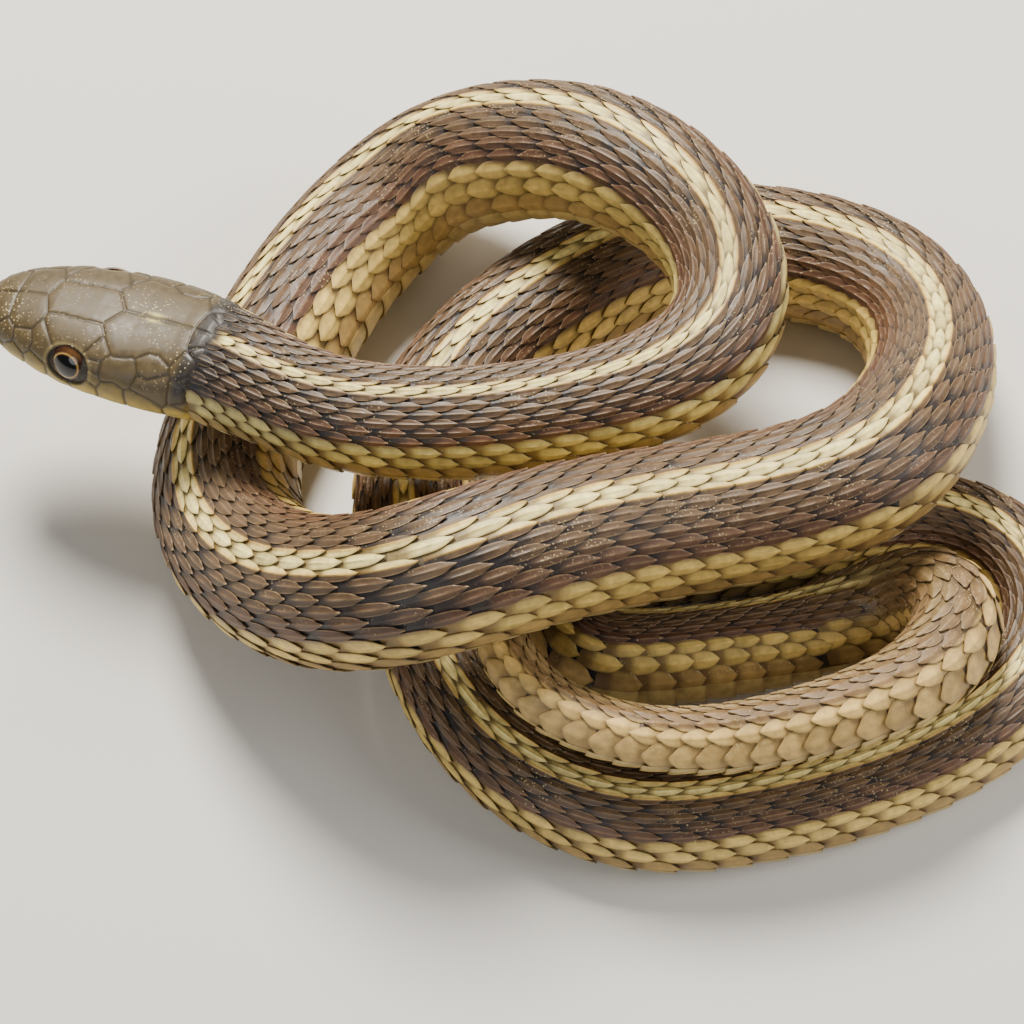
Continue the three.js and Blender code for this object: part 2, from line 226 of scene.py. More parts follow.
def outer_grid():
    """Points of the outer surface on a fine grid of distance and place round the section."""
    distance = np.arange(0.02, LENGTH, STEP)
    centre, _, up, right, bend = stations(distance)
    half = look_up(HALF_WIDTH, distance)
    near = np.arange(-SOFTEN_REACH, SOFTEN_REACH + 1)
    soft = np.exp(-0.5 * (near * STEP / SOFTEN_WIDTH) ** 2)
    smooth = np.convolve(np.pad(half, SOFTEN_REACH, "edge"), soft / soft.sum(), "valid")
    half = np.where(distance > SNOUT, smooth, half)
    on_head = distance < HEAD_BLEND
    top = np.where(on_head, look_up(HEAD_TOP, distance), half * BACK_RATIO)
    bottom = np.where(on_head, look_up(HEAD_BOTTOM, distance), half * BELLY_RATIO)
    on_body = smooth_step(HEAD_END, HEAD_BLEND, distance)[:, None]
    angle = np.linspace(-math.pi, math.pi, 4 * ROUND + 1)[None, :]
    sine, cosine = np.sin(angle), np.cos(angle)
    square = HEAD_SQUARE + (np.where(cosine > 0, BACK_SQUARE, BELLY_SQUARE) - HEAD_SQUARE) * on_body
    offset = half[:, None] * np.sign(sine) * np.abs(sine) ** (2 / square)
    offset = offset / (1 + np.maximum(0, offset * bend[:, None] - CREASE_START))
    tall = np.where(cosine > 0, top[:, None], bottom[:, None])
    height = tall * np.sign(cosine) * np.abs(cosine) ** (2 / square)
    ring = centre[:, None] + offset[..., None] * right[:, None] + height[..., None] * up[:, None]
    ring[..., 2] = np.maximum(ring[..., 2], 0)
    # even spacing round each half of the section
    grid = np.empty((len(distance), ROUND + 1, 3))
    arc = np.concatenate([np.zeros((len(distance), 1)),
                          np.cumsum(np.linalg.norm(np.diff(ring, axis=1), axis=2), axis=1)], 1)
    back = 2 * ROUND
    girth = np.empty((len(distance), 2))
    for i in range(len(distance)):
        left, total = arc[i, back], arc[i, -1]
        girth[i] = left, total - left
        on_left, on_right = np.linspace(0, left, ROUND // 2 + 1), np.linspace(left, total, ROUND // 2 + 1)
        place = np.r_[on_left, on_right[1:]]
        for axis in range(3):
            grid[i, :, axis] = np.interp(place, arc[i], ring[i, :, axis])
    return distance, grid, girth


grid_distance, grid_points, half_girth = outer_grid()
down_length = np.gradient(grid_points, axis=0)
grid_normals = unit(np.cross(np.gradient(grid_points, axis=1), down_length))
grid_stretch = np.linalg.norm(down_length, axis=2) / STEP
seam_normal = unit(grid_normals[:, 0] + grid_normals[:, -1])
grid_normals[:, 0] = grid_normals[:, -1] = seam_normal


def sample(grid, distance, place):
    """Bilinear value of a fine grid at distances and places (-1 to 1, wrapping at the belly)."""
    place = (np.asarray(place) + 1) % 2
    x = np.clip((distance - grid_distance[0]) / STEP, 0, len(grid_distance) - 1.001)
    y = np.clip(place * ROUND / 2, 0, ROUND - 0.001)
    i, j = x.astype(int), y.astype(int)
    fx, fy = x - i, y - j
    if grid.ndim == 3:
        fx, fy = fx[..., None], fy[..., None]
    return ((grid[i, j] * (1 - fx) + grid[i + 1, j] * fx) * (1 - fy)
            + (grid[i, j + 1] * (1 - fx) + grid[i + 1, j + 1] * fx) * fy)


COAT = 0.42                 # mm the skin lies inside the solids on the body
HEAD_COAT = 0.30
TIP_COAT = 0.25
TIP_RUN = 70                # mm of tail over which the coat thins


def coat_depth(distance):
    depth = HEAD_COAT + (COAT - HEAD_COAT) * smooth_step(HEAD_END - 3, HEAD_END + 8, distance)
    depth = depth * smooth_step(-0.5, 2.0, distance)
    return depth - (COAT - TIP_COAT) * smooth_step(LENGTH - TIP_RUN, LENGTH, distance)


def on_surface(distance, place, height):
    """Point at a height above the skin, in metres."""
    return (sample(grid_points, distance, place)
            + sample(grid_normals, distance, place) * (height - coat_depth(distance))[..., None]) * MM


# Colours
def linear(*rgb):
    c = np.array(rgb, float) / 255
    return np.where(c <= 0.04045, c / 12.92, ((c + 0.055) / 1.055) ** 2.4)


CREAM = linear(240, 220, 142)
CREAM_EDGE = linear(206, 166, 82)
BROWN = linear(92, 70, 47)
RUST = linear(88, 56, 38)
# pale edge line and painted highlight on the scales' raised tips and keels
PALE_RIM_AND_HIGHLIGHT = linear(166, 138, 100)
BLACK = linear(22, 20, 24)
YELLOW = linear(206, 176, 96)
NECK_YELLOW = linear(184, 170, 104)
BELLY = linear(182, 158, 100)
LOW_ROW = linear(132, 100, 60)
TAIL = linear(124, 96, 58)
TAIL_BRIGHT = linear(214, 178, 104)
TAIL_BACK = linear(140, 116, 74)
TAN_EDGE = linear(84, 58, 28)
OLIVE = linear(80, 66, 38)
LIP = linear(172, 146, 66)
CHIN = linear(196, 172, 98)
SUTURE = linear(40, 32, 20)
SKIN_STRIPE = linear(120, 106, 72)
SKIN_BELLY = linear(152, 132, 82)
SKIN_TAIL = linear(92, 72, 50)
SKIN_TAIL_BELLY = linear(150, 128, 80)
TAIL_BELLY = linear(176, 150, 92)
THROAT_BELLY = linear(214, 200, 150)
PARIETAL_SPOT = linear(214, 196, 120)
# painted shade in the mouth's line, the nostrils and the eye sockets
MOUTH_AND_NOSTRIL_SHADE = linear(20, 14, 12)
EYE_SOCKET_SHADE = linear(26, 20, 16)
EYELID = linear(150, 134, 84)
IRIS = linear(48, 25, 14)
IRIS_LIGHT = linear(104, 72, 36)
IRIS_GOLD = linear(206, 166, 92)
EYE_EDGE = linear(22, 13, 10)
PUPIL_BLACK = linear(3, 3, 4)
DUST = (0.52, 0.42, 0.22, 1)


def mix(a, b, t):
    return a + (b - a) * np.asarray(t)[..., None]


# Scale rows
# Scale rows run along the body. Each line gives the distance where a count of rows begins.
ROW_COUNTS = [(25.4, 19), (427, 17), (600, 14), (608, 12), (616, 10), (664, 8), (696, 6)]
SPACING = [(0, 2.2), (27, 2.3), (34, 2.9), (60, 3.6), (110, 4.4), (300, 4.4), (420, 3.9), (480, 3.5),
           (600, 3.1), (622, 2.9), (680, 2.5), (717, 1.8)]
# How far round the section each row lies, rows near the belly being twice as wide as the back's:
# rows out from the back stripe's middle on a body of nineteen rows, then the place there.
ROW_PLACE = [(0, 0), (5, 0.26), (6.5, 0.35), (7.5, 0.43), (8.5, 0.53), (9.5, 0.645)]
FULL_ROWS = 9.5
BELLY_EDGE = 0.645          # place where the belly plates begin
TAIL_BELLY_EDGE = 0.72

count_along = np.cumsum(STEP / look_up(SPACING, grid_distance))


def series_distance(series):
    return np.interp(series, count_along, grid_distance)


def belly_edge(distance):
    return BELLY_EDGE + (TAIL_BELLY_EDGE - BELLY_EDGE) * smooth_step(590, 620, distance)


def tailness(distance):
    return smooth_step(600, 618, distance)


def row_place(out, rows, distance):
    """Place round the section of a point so many rows out from the back stripe's middle."""
    share = np.clip(np.abs(out) * FULL_ROWS / (rows / 2), 0, FULL_ROWS)
    curve = np.interp(share, *np.array(ROW_PLACE).T)
    return np.sign(out) * curve * belly_edge(distance) / BELLY_EDGE


def rows_out(place, rows, distance):
    """How many rows out from the back stripe's middle a place lies."""
    at, there = np.array(ROW_PLACE).T
    share = np.interp(np.abs(place) * BELLY_EDGE / belly_edge(distance), there, at)
    beyond = np.maximum(np.abs(place) * BELLY_EDGE / belly_edge(distance) - BELLY_EDGE, 0) * 9
    return (share + beyond) * (rows / 2) / FULL_ROWS


def body_colour(distance, place, rows, grime):
    """Colour of the scales: cream back stripe, brown back, yellow side stripe, pale belly."""
    across = rows_out(place, rows, distance)        # rows out from the back stripe's middle
    from_belly = rows / 2 - across + 0.5            # 1 on the lowest row
    brown = mix(BROWN, RUST, smooth_step(0.3, 0.62, across / (rows / 2)) * 0.85)
    nape = smooth_step(34, 30, distance) * (across > 0.5)
    colour = mix(brown, BLACK, np.clip(np.maximum(grime, nape), 0, 1) * 0.85)
    yellow = mix(NECK_YELLOW, YELLOW, smooth_step(60, 130, distance))
    side = smooth_step(4.05, 3.85, from_belly + 0.5)
    colour = mix(colour, yellow, side)
    colour = mix(colour, LOW_ROW, smooth_step(1.6, 1.4, from_belly) * 0.7)
    colour = mix(colour, BELLY, smooth_step(0.6, 0.4, from_belly))
    begins = smooth_step(28, 30, distance)
    wide = 0.78 + 0.32 * smooth_step(60, 130, distance)
    stripe = smooth_step(wide + 0.06, wide - 0.06, across) * begins
    colour = mix(colour, mix(CREAM, CREAM_EDGE, smooth_step(0.55, 1.0, across / wide)), stripe)
    tail = mix(TAIL, TAIL_BRIGHT, smooth_step(0.75, 0.45, np.abs(from_belly - 2.0)))
    tail = mix(tail, mix(TAIL, TAIL_BRIGHT, 0.55), smooth_step(1.6, 1.4, from_belly))
    tail = mix(tail, TAIL_BACK, smooth_step(0.9, 0.5, across))
    return mix(colour, tail, tailness(distance))


def skin_colour(distance, place):
    """Skin between the scales: black on the back and sides, pale on the belly."""
    place = np.abs(place)
    edge = belly_edge(distance)
    stripe = smooth_step(0.065, 0.05, place) * smooth_step(29, 32, distance) * 0.7
    under = smooth_step(edge - 0.03, edge + 0.02, place)
    colour = mix(mix(BLACK, SKIN_STRIPE, stripe), SKIN_BELLY, under)
    tan = mix(SKIN_TAIL, SKIN_TAIL_BELLY, under)
    colour = mix(colour, tan, tailness(distance))
    head = smooth_step(HEAD_END + 1, HEAD_END - 2, distance)
    return mix(colour, SUTURE, head)


# Meshes and materials
STRIPS = 4                  # lengths of body side by side on the unwrap
STRIP_SLACK = 1.001         # keeps the tail's tip inside the last strip
SHARP = math.radians(62)    # edges bent by more than this are shaded sharp


def unwrap(distance, place, start=None):
    """The skin unrolled into four strips, one above the other, in the unit square.

    The strip is the one that holds start, or else the point's own distance.
    """
    run = LENGTH / STRIPS * STRIP_SLACK
    strip = np.floor((distance if start is None else start) / run)
    u = (distance - strip * run) / run
    v = (strip + 0.04 + 0.92 * (np.clip(place, -1, 1) + 1) / 2) / STRIPS
    return np.stack([0.01 + 0.98 * u, v], -1)


def make_piece(name, points, triangles, tint, uv, material, replaces=()):
    """One piece. Its map has a row for each point, or three for each triangle."""
    mesh = bpy.data.meshes.new(name)
    mesh.vertices.add(len(points))
    mesh.vertices.foreach_set("co", np.ascontiguousarray(points, np.float32).ravel())
    corners = np.ascontiguousarray(triangles, np.int32).ravel()
    mesh.loops.add(len(corners))
    mesh.loops.foreach_set("vertex_index", corners)
    mesh.polygons.add(len(triangles))
    mesh.polygons.foreach_set("loop_start", np.arange(0, len(corners), 3, dtype=np.int32))
    mesh.update(calc_edges=True)
    layer = mesh.uv_layers.new(name="OFBake")
    corner_uv = uv if uv.ndim == 3 else uv[corners]
    layer.data.foreach_set("uv", corner_uv.astype(np.float32).ravel())
    mesh.validate()
    mesh.polygons.foreach_set("use_smooth", np.ones(len(mesh.polygons), bool))
    mesh.set_sharp_from_angle(angle=SHARP)
    colours = mesh.attributes.new("tint", "FLOAT_COLOR", "POINT")
    opaque = np.c_[np.clip(tint, 0, 1), np.ones(len(tint))]
    colours.data.foreach_set("color", opaque.astype(np.float32).ravel())
    mesh.materials.append(material)
    piece = bpy.data.objects.new(name, mesh)
    bpy.context.scene.collection.objects.link(piece)
    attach(piece, "root")
    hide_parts(*replaces)
    return piece


def add_node(material, kind, **values):
    """A shader node with its inputs set. An underscore in a name stands for a space."""
    node = material.node_tree.nodes.new(kind)
    for name, value in values.items():
        node.inputs[name.replace("_", " ")].default_value = value
    return node


def multiply(material, first, second):
    """A shader node that multiplies two outputs."""
    node = add_node(material, "ShaderNodeMath")
    node.operation = "MULTIPLY"
    material.node_tree.links.new(first, node.inputs[0])
    material.node_tree.links.new(second, node.inputs[1])
    return node


def scale_material(name, roughness, coat, grain_per_mm, grain_height_mm, dust):
    """Mottled scales with a fine grain, and specks of dust where they face up."""
    material = bpy.data.materials.new(name)
    material.use_nodes = True
    links = material.node_tree.links
    shader = material.node_tree.nodes["Principled BSDF"]
    shader.inputs["IOR"].default_value = 1.48
    shader.inputs["Coat Weight"].default_value = coat
    shader.inputs["Coat Roughness"].default_value = 0.28
    where = add_node(material, "ShaderNodeTexCoord")
    tint = add_node(material, "ShaderNodeAttribute")
    tint.attribute_name = "tint"

    mottle = add_node(material, "ShaderNodeTexNoise", Scale=1100, Detail=5)
    links.new(where.outputs["Object"], mottle.inputs["Vector"])
    shade = add_node(material, "ShaderNodeMapRange", From_Min=0.3, From_Max=0.7, To_Min=0.78, To_Max=1.2)
    links.new(mottle.outputs["Fac"], shade.inputs["Value"])
    tone = add_node(material, "ShaderNodeVectorMath")
    tone.operation = "SCALE"
    links.new(tint.outputs["Color"], tone.inputs[0])
    links.new(shade.outputs["Result"], tone.inputs["Scale"])

    specks = add_node(material, "ShaderNodeTexVoronoi", Scale=2300)
    links.new(where.outputs["Object"], specks.inputs["Vector"])
    small = add_node(material, "ShaderNodeMapRange", From_Min=0.26, From_Max=0.16)
    links.new(specks.outputs["Distance"], small.inputs["Value"])
    patches = add_node(material, "ShaderNodeTexNoise", Scale=160, Detail=3)
    links.new(where.outputs["Object"], patches.inputs["Vector"])
    sparse = add_node(material, "ShaderNodeMapRange", From_Min=0.44, From_Max=0.64, To_Max=dust)
    links.new(patches.outputs["Fac"], sparse.inputs["Value"])
    geometry = add_node(material, "ShaderNodeNewGeometry")
    apart = add_node(material, "ShaderNodeSeparateXYZ")
    links.new(geometry.outputs["Normal"], apart.inputs["Vector"])
    upward = add_node(material, "ShaderNodeMapRange", From_Min=0.2, From_Max=0.8)
    links.new(apart.outputs["Z"], upward.inputs["Value"])
    settled = multiply(material, small.outputs["Result"], sparse.outputs["Result"])
    lying = multiply(material, settled.outputs["Value"], upward.outputs["Result"])
    dusted = add_node(material, "ShaderNodeMix")
    dusted.data_type = "RGBA"
    dusted.inputs["B"].default_value = DUST
    links.new(tone.outputs["Vector"], dusted.inputs["A"])
    links.new(lying.outputs["Value"], dusted.inputs["Factor"])
    links.new(dusted.outputs["Result"], shader.inputs["Base Color"])

    gloss = add_node(material, "ShaderNodeMapRange", From_Min=0.3, From_Max=0.7,
                     To_Min=roughness - 0.07, To_Max=roughness + 0.1)
    links.new(mottle.outputs["Fac"], gloss.inputs["Value"])
    links.new(gloss.outputs["Result"], shader.inputs["Roughness"])
    grain = add_node(material, "ShaderNodeTexNoise", Scale=grain_per_mm / MM, Detail=3)
    links.new(where.outputs["Object"], grain.inputs["Vector"])
    bump = add_node(material, "ShaderNodeBump", Strength=0.5, Distance=grain_height_mm * MM)
    links.new(grain.outputs["Fac"], bump.inputs["Height"])
    links.new(bump.outputs["Normal"], shader.inputs["Normal"])
    return material


SKIN_MATERIAL = scale_material("skin_between_scales", 0.55, 0.0, 9, 0.05, 0.3)
SCALE_MATERIAL = scale_material("keeled_scales", 0.5, 0.04, 7, 0.035, 0.8)
PLATE_MATERIAL = scale_material("head_plates", 0.5, 0.05, 6, 0.02, 1.0)
BELLY_MATERIAL = scale_material("belly_plates", 0.38, 0.15, 6, 0.02, 0.2)

FLESH = (["head", "lower_jaw", "neck"] + [f"trunk_{i + 1}" for i in range(12)]
         + [f"tail_{i + 1}" for i in range(4)])


# Skin
SKIN_SIDES = 72             # faces round the skin
SKIN_FINE, SKIN_COARSE = 0.5, 1.1   # mm between rings on the head and on the body
FINE_END = 40


def grid_triangles(rows, columns):
    """Two triangles for each cell of a grid of points, facing outwards."""
    a = (np.arange(rows - 1)[:, None] * columns + np.arange(columns - 1)[None, :]).ravel()
    b, c, d = a + 1, a + columns, a + columns + 1
    return np.concatenate([np.stack([a, b, c], 1), np.stack([b, d, c], 1)])


def build_skin():
    distance = np.r_[grid_distance[0], np.arange(0.3, FINE_END, SKIN_FINE),
                     np.arange(FINE_END, LENGTH - 0.3, SKIN_COARSE), grid_distance[-1]]
    sides = SKIN_SIDES
    place = np.linspace(-1, 1, sides, endpoint=False)
    d, p = np.meshgrid(distance, place, indexing="ij")
    points = on_surface(d.ravel(), p.ravel(), np.zeros(d.size))
    tint = skin_colour(d.ravel(), p.ravel())
    cells = (np.arange(len(distance) - 1)[:, None] * sides + np.arange(sides)[None, :])
    ahead = (np.arange(len(distance) - 1)[:, None] * sides + (np.arange(sides)[None, :] + 1) % sides)
    a, b = cells.ravel(), ahead.ravel()
    triangles = np.concatenate([np.stack([a, b, a + sides], 1), np.stack([b, b + sides, a + sides], 1)])
    nose, tip = len(points), len(points) + 1
    ring = np.arange(sides)
    last = (len(distance) - 1) * sides
    triangles = np.concatenate([
        triangles, np.stack([np.full(sides, nose), (ring + 1) % sides, ring], 1),
        np.stack([np.full(sides, tip), last + ring, last + (ring + 1) % sides], 1)])
    points = np.vstack([points, points[:sides].mean(0), points[-sides:].mean(0)])
    tint = np.vstack([tint, tint[0], tint[-1]])
    # on the map each face keeps to one strip, and to one side of the belly's middle line
    corner_distance = np.r_[d.ravel(), distance[0] - 1, distance[-1] + 1][triangles]
    corner_place = np.r_[p.ravel(), np.nan, np.nan][triangles]
    crossing = np.nanmax(corner_place, 1) - np.nanmin(corner_place, 1) > 1
    corner_place = np.where(crossing[:, None] & (corner_place < 0), corner_place + 2, corner_place)
    middle = np.nanmean(corner_place, 1)[:, None]
    corner_place = np.where(np.isnan(corner_place), middle, corner_place)
    first = np.maximum(corner_distance.min(1), 0)[:, None]
    uv = unwrap(corner_distance, corner_place, first)
    make_piece("skin", points, triangles, tint, uv, SKIN_MATERIAL, FLESH)


build_skin()


# Scales
def scale_template(along_cells, across_cells, outline, tip_round):
    """One scale as a grid: along runs root to tip, across side to side; then its rim and base."""
    rows = 1 - (1 - np.linspace(0, 1, along_cells + 1)) ** 1.35
    a, b = np.meshgrid(rows, np.linspace(-1, 1, across_cells + 1), indexing="ij")
    x = outline(a) * b
    y = a - tip_round * b**2 * a**3
    columns = across_cells + 1
    top = grid_triangles(along_cells + 1, columns)
    index = np.arange((along_cells + 1) * columns).reshape(along_cells + 1, columns)
    rim = np.r_[index[0, :-1], index[:-1, -1], index[-1, :0:-1], index[:0:-1, 0]]
    under = index.size + np.arange(len(rim))
    after, under_after = np.roll(rim, -1), np.roll(under, -1)
    centre = index.size + len(rim)
    sides = np.concatenate([np.stack([rim, under, after], 1), np.stack([after, under, under_after], 1)])
    base = np.stack([np.full(len(rim), centre), under_after, under], 1)
    return dict(a=a.ravel(), b=b.ravel(), x=x.ravel(), y=y.ravel(), rim=rim,
                triangles=np.concatenate([top, sides, base]))


def lanceolate(a):
    rise = 0.7 + 0.3 * np.sin(math.pi / 2 * np.clip(a / 0.45, 0, 1))
    fall = (1 - 0.93 * np.clip((a - 0.45) / 0.55, 0, 1) ** 2.9) ** 0.5
    return rise * fall


def pentagon(a):
    rise = 0.7 + 0.3 * np.clip(a / 0.35, 0, 1)
    fall = 1 - 0.62 * np.clip((a - 0.55) / 0.45, 0, 1) ** 1.5
    return rise * fall


DORSAL = scale_template(10, 8, lanceolate, 0.11)
TAIL_SCALE = scale_template(10, 8, pentagon, 0.15)
PLATE = scale_template(5, 28, lambda a: np.ones_like(a), 0.06)
PATCH = 0.003               # width of a scale's patch on the unwrap
SCALE_THICK = 0.16          # mm
DEEPEST = -0.04             # mm above the skin that a scale's underside may reach
UNDER_SHADE = 0.35          # brightness of a scale's underside
RIDGE_WIDTH = 0.13          # keel's width as a share of the half width
OVERLAP = 1.36              # scale's length over the spacing of the series
WIDE, LOWEST_WIDE = 0.58, 0.62  # scale's half width over the spacing of the rows
KEEL, LOWEST_KEEL = 0.13, 0.03  # mm the keel stands up


def build_scales(name, template, root, place, length, half_width, lift, keel, paint, material,
                 crown=0.28):
    """Joined scales. Each is laid over the skin from its root, and rises towards its tip."""
    a, b, x, y = (template[k][None, :] for k in ("a", "b", "x", "y"))
    stretch = np.clip(sample(grid_stretch, root + length / 2, place), 0.5, 1.7)[:, None]
    distance = root[:, None] + length[:, None] * y / stretch**0.55
    distance = np.clip(distance, grid_distance[0], grid_distance[-1])
    across = place[:, None] + half_width[:, None] * x
    rise = 0.05 + 0.95 * smooth_step(0, 0.95, a) ** 0.8
    height = lift[:, None] * rise * (1 - crown * b**2)
    height = height + keel[:, None] * np.exp(-(b / RIDGE_WIDTH) ** 2) * smooth_step(0.05, 0.35, a)
    depth = coat_depth(distance)
    height = np.minimum(height, depth)
    top = on_surface(distance, across, height)
    rim = template["rim"]
    lower = np.maximum(height[:, rim] - SCALE_THICK, DEEPEST)
    under = on_surface(distance[:, rim], across[:, rim], lower)
    middle = on_surface(root + length * 0.4 / stretch[:, 0], place, np.zeros(len(root)))[:, None]
    points = np.concatenate([top, under, middle], 1)
    shape = across.shape
    tint = paint(distance, across, np.broadcast_to(a, shape), np.broadcast_to(b, shape))
    tint = np.concatenate([tint, tint[:, rim] * UNDER_SHADE, tint[:, :1] * UNDER_SHADE], 1)
    patch = np.stack([template["y"] - 0.5, template["x"] / 2], -1) * PATCH
    patch = np.vstack([patch, patch[rim], [[0, 0]]])
    uv = unwrap(root, place)[:, None] + patch[None]
    count = points.shape[1]
    triangles = template["triangles"][None] + (np.arange(len(root)) * count)[:, None, None]
    make_piece(name, points.reshape(-1, 3), triangles.reshape(-1, 3), tint.reshape(-1, 3),
               uv.reshape(-1, 2), material)


def rows_between(start, end):
    for i, (begin, rows) in enumerate(ROW_COUNTS):
        finish = ROW_COUNTS[i + 1][0] if i + 1 < len(ROW_COUNTS) else LENGTH - 1.5
        if begin < end and finish > start:
            yield max(begin, start), min(finish, end), rows


def lay_scales(name, start, end):
    """All the dorsal scales whose roots lie between two distances."""
    keys = ("root", "place", "length", "half", "lift", "keel", "rows", "row", "series")
    parts = {key: [] for key in keys}
    for low, high, rows in rows_between(start, end):
        for row in range(rows):
            series = np.arange(math.ceil(np.interp(low, grid_distance, count_along)),
                               np.interp(high, grid_distance, count_along)) + 0.5 * (row % 2)
            root = series_distance(series)
            spacing = look_up(SPACING, root)
            out = row - (rows - 1) / 2
            pitch = row_place(abs(out) + 0.5, rows, root) - row_place(abs(out) - 0.5, rows, root)
            lowest = row in (0, rows - 1)
            n = len(root)
            parts["root"].append(root + rng.normal(0, 0.05, n) * spacing * 0.5)
            parts["place"].append(row_place(out, rows, root))
            parts["length"].append(spacing * (OVERLAP + rng.normal(0, 0.03, n)))
            wide = LOWEST_WIDE if lowest else WIDE
            parts["half"].append(pitch * wide * (1 + rng.normal(0, 0.02, n)))
            full = coat_depth(root)
            parts["keel"].append(np.full(n, LOWEST_KEEL if lowest else KEEL) * full / COAT)
            parts["lift"].append(full * (0.86 + rng.normal(0, 0.03, n)))
            parts["rows"].append(np.full(n, rows))
            parts["row"].append(np.full(n, row))
            parts["series"].append(series)
    part = {key: np.concatenate(value) for key, value in parts.items()}
    n = len(part["root"])
    light = 1 + rng.normal(0, 0.10, n)
    half_rows = (part["rows"] - 1) / 2
    out = np.abs(part["row"] - half_rows)           # rows out from the back stripe
    wave = np.sin(part["series"] * 2.1 + out * 1.7 + np.sign(part["row"] - half_rows) * 0.8)
    beside = (out > 0.6) & (out < 3.4)
    chance = np.where(beside, 0.35, 0.12) + 0.3 * np.clip(wave, 0, 1) * beside
    chance = chance + 0.45 * smooth_step(100, 40, part["root"]) * (out > 0.6)
    grime = (rng.random(n) < chance) * rng.uniform(0.4, 1.0, n)

    def paint(distance, across, a, b):
        rows = np.broadcast_to(part["rows"][:, None], distance.shape)
        shadow = grime[:, None] * smooth_step(0.75, 0.25, a)
        colour = body_colour(distance, across, rows, shadow) * light[:, None, None]
        pale = smooth_step(0.10, 0.22, colour.mean(-1))
        # the tip's rim: on dark scales partly a pale edge line, partly painted highlight on the raised tip
        rim = np.maximum(smooth_step(0.80, 0.97, np.abs(b)), smooth_step(0.93, 1.0, a))
        rim = rim * smooth_step(0.25, 0.5, a)
        # dark root: partly the dark skin at the scale's base, partly painted shadow under the tip of the
        # scale ahead
        root = smooth_step(0.46, 0.2, a)
        # painted highlight along the keel, on dark and pale scales alike
        keel_highlight = np.exp(-(b / RIDGE_WIDTH) ** 2) * smooth_step(0.3, 0.5, a)
        colour = mix(colour, PALE_RIM_AND_HIGHLIGHT, (0.42 * rim + 0.3 * keel_highlight) * (1 - pale))
        colour = mix(colour, TAN_EDGE, 0.78 * rim * pale)
        colour = colour * (1 + 0.2 * (keel_highlight * pale)[..., None])
        # painted shade: each scale is darkened towards its sides, where it slopes away from the keel
        colour = colour * (1 - 0.25 * smooth_step(0.0, 0.9, b * b) * (1 - rim))[..., None]
        root = root * (0.85 - 0.5 * tailness(distance))
        return mix(colour, np.where(pale[..., None] > 0.5, TAN_EDGE, BLACK), root)

    on_tail = start >= TAIL_START
    template = TAIL_SCALE if on_tail else DORSAL
    build_scales(name, template, part["root"], part["place"], part["length"], part["half"], part["lift"],
                 part["keel"], paint, SCALE_MATERIAL)


COAT_LENGTHS = [(25, 110), (110, 215), (215, 320), (320, 425), (425, 520), (520, TAIL_START),
                (TAIL_START, LENGTH)]
for number, (start, end) in enumerate(COAT_LENGTHS):
    lay_scales(f"scales_{number + 1}", start, end)


def lay_belly():
    """One wide plate across the belly for each series of scales."""
    series = np.arange(math.ceil(np.interp(15, grid_distance, count_along)), count_along[-1] - 1)
    root = series_distance(series)
    spacing = look_up(SPACING, root)
    n = len(root)
    light = 1 + rng.normal(0, 0.03, n)

    def paint(distance, across, a, b):
        colour = mix(BELLY, TAIL_BELLY, smooth_step(600, 640, distance)) * light[:, None, None]
        colour = mix(colour, THROAT_BELLY, smooth_step(70, 25, distance) * 0.6)
        dots = smooth_step(0.80, 0.93, np.abs(b)) * smooth_step(0.45, 0.2, a)
        colour = mix(colour, TAN_EDGE, dots * 0.55)
        return mix(colour, TAN_EDGE, smooth_step(0.93, 1.0, a) * 0.35)

    build_scales("belly_plates", PLATE, root, np.ones(n), spacing * 1.3, 1 - belly_edge(root) + 0.015,
                 coat_depth(root) * 0.9, np.zeros(n), paint, BELLY_MATERIAL, crown=0.1)


lay_belly()

# Head plates
# Places on the head: distance behind the snout in mm, and height as 0 on the crown's middle line,
# 1 on the mouth line and 2 on the throat's middle line. A plate may have several centres.
MOUTH_HEIGHT, MOUTH_SLOPE, MOUTH_BACK = -1.2, -0.045, 22.0
EYE_BACK, EYE_OUT, EYE_UP = 12.9, 6, 1.2
EYE_LONG, EYE_HIGH, EYE_THICK = 2.6, 2.4, 1.75
EYE_LIFT, EYE_AHEAD = 20, 10
PUPIL, IRIS_RING = 0.54, 0.60   # radii as shares of the eye's half length
EYE_SPAN = (2.5, 2.25)      # half length and half height of the eye's opening
NOSTRIL = (2.5, 0.60)
NOSTRIL_SPAN = (0.42, 0.36)     # half length and half height in mm
MOUTH_WIDTH = 0.11
MOUTH_DEPTH, SOCKET_DEPTH, NOSTRIL_DEPTH = 0.25, 0.55, 0.5      # mm
HEAD_LAP = 1.4              # mm of plates that lie under the neck's first scales
HEAD_ROWS, HEAD_COLUMNS = 300, 318
TRIED, EYE_TRIED = 160, 400     # places tried when looking for the mouth line and the eye
FAR = 1e9
CROWN, LIPS, THROAT = 0, 1, 2
MIDDLE_PLATES = {
    "rostral": (LIPS, [(0.2, 0.0), (0.2, 0.35), (0.2, 0.7), (0.3, 0.95)]),
    "frontal": (CROWN, [(9.9, 0), (11.4, 0), (12.9, 0), (14.2, 0)]),
    "mental": (THROAT, [(0.3, 1.2), (0.8, 1.6), (0.8, 2.0)]),
}
